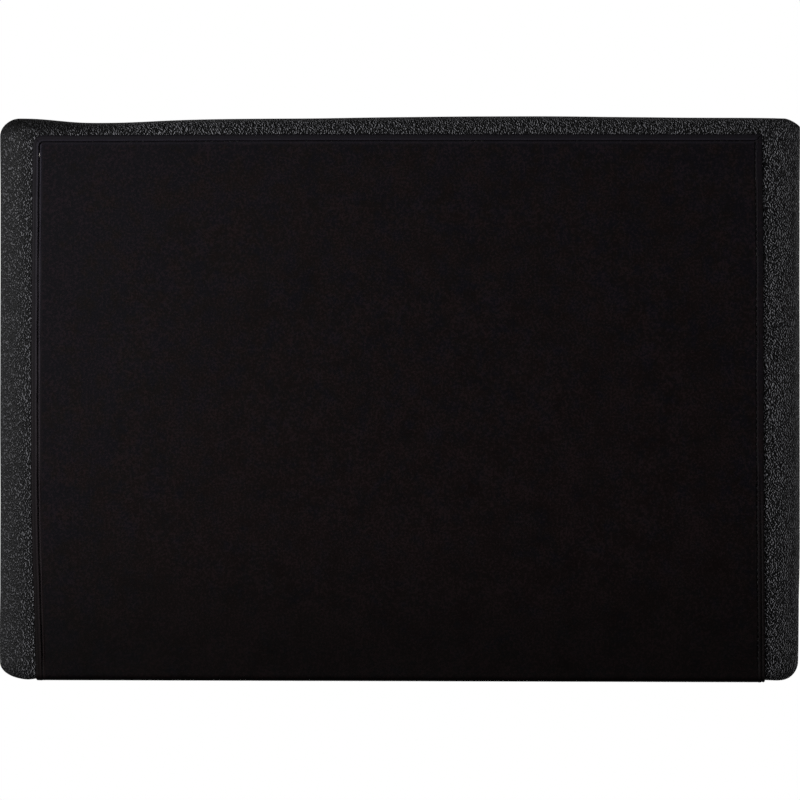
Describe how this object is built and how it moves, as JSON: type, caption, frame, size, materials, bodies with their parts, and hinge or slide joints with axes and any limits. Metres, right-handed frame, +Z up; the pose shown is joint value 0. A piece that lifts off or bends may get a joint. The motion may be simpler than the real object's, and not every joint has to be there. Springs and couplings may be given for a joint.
{
  "type": "wall punch pad",
  "caption": "Upholstered wall punch pad: foam on a plywood board in grained vinyl, with a smooth sewn strike panel that gives under a blow and keyhole hangers behind.",
  "frame": {"origin": "centre of the backing board's rear face, which lies on the wall", "axes": "+X to the right as seen from the front, +Y into the wall, +Z up; the strike face looks along -Y"},
  "size_m": [0.432, 0.055, 0.3056],
  "materials": {
    "grained_vinyl": "pebble-grained black vinyl, satin",
    "smooth_leather": "smooth black-brown leather, matt",
    "black_thread": "bonded black sewing thread",
    "plywood": "bare birch plywood",
    "firm_foam": "firm grey rebonded foam",
    "soft_foam": "soft cream open-cell foam",
    "closed_cell_foam": "black closed-cell foam sheet",
    "zinc_steel": "zinc-plated steel",
    "screw_steel": "yellow-passivated steel",
    "staple_wire": "galvanised flat wire"
  },
  "bodies": {
    "backing": {"backing_board": "plywood", "base_foam": "firm_foam", "core_foam": "soft_foam", "vinyl_cover": "grained_vinyl", "keyhole_plate_left": "zinc_steel", "keyhole_plate_right": "zinc_steel", "plate_screw_left_outer": "screw_steel", "plate_screw_left_inner": "screw_steel", "plate_screw_right_outer": "screw_steel", "plate_screw_right_inner": "screw_steel", "staple_01": "staple_wire", "staple_02": "staple_wire", "staple_03": "staple_wire", "staple_04": "staple_wire", "staple_05": "staple_wire", "staple_06": "staple_wire", "staple_07": "staple_wire", "staple_08": "staple_wire", "staple_09": "staple_wire", "staple_10": "staple_wire", "staple_11": "staple_wire", "staple_12": "staple_wire", "staple_13": "staple_wire", "staple_14": "staple_wire", "staple_15": "staple_wire", "staple_16": "staple_wire", "staple_17": "staple_wire", "staple_18": "staple_wire", "staple_19": "staple_wire", "staple_20": "staple_wire", "staple_21": "staple_wire", "staple_22": "staple_wire", "staple_23": "staple_wire", "staple_24": "staple_wire"},
    "strike_face": {"strike_panel": "smooth_leather", "panel_stitching": "black_thread", "spreader_foam": "closed_cell_foam"}
  },
  "joints": [
    {"name": "strike_press", "type": "slide", "parent": "backing", "child": "strike_face", "axis": [0, 1, 0], "range_m": [0, 0.01], "stiffness_N_per_m": 20000, "deforming": ["core_foam", "vinyl_cover"]}
  ]
}
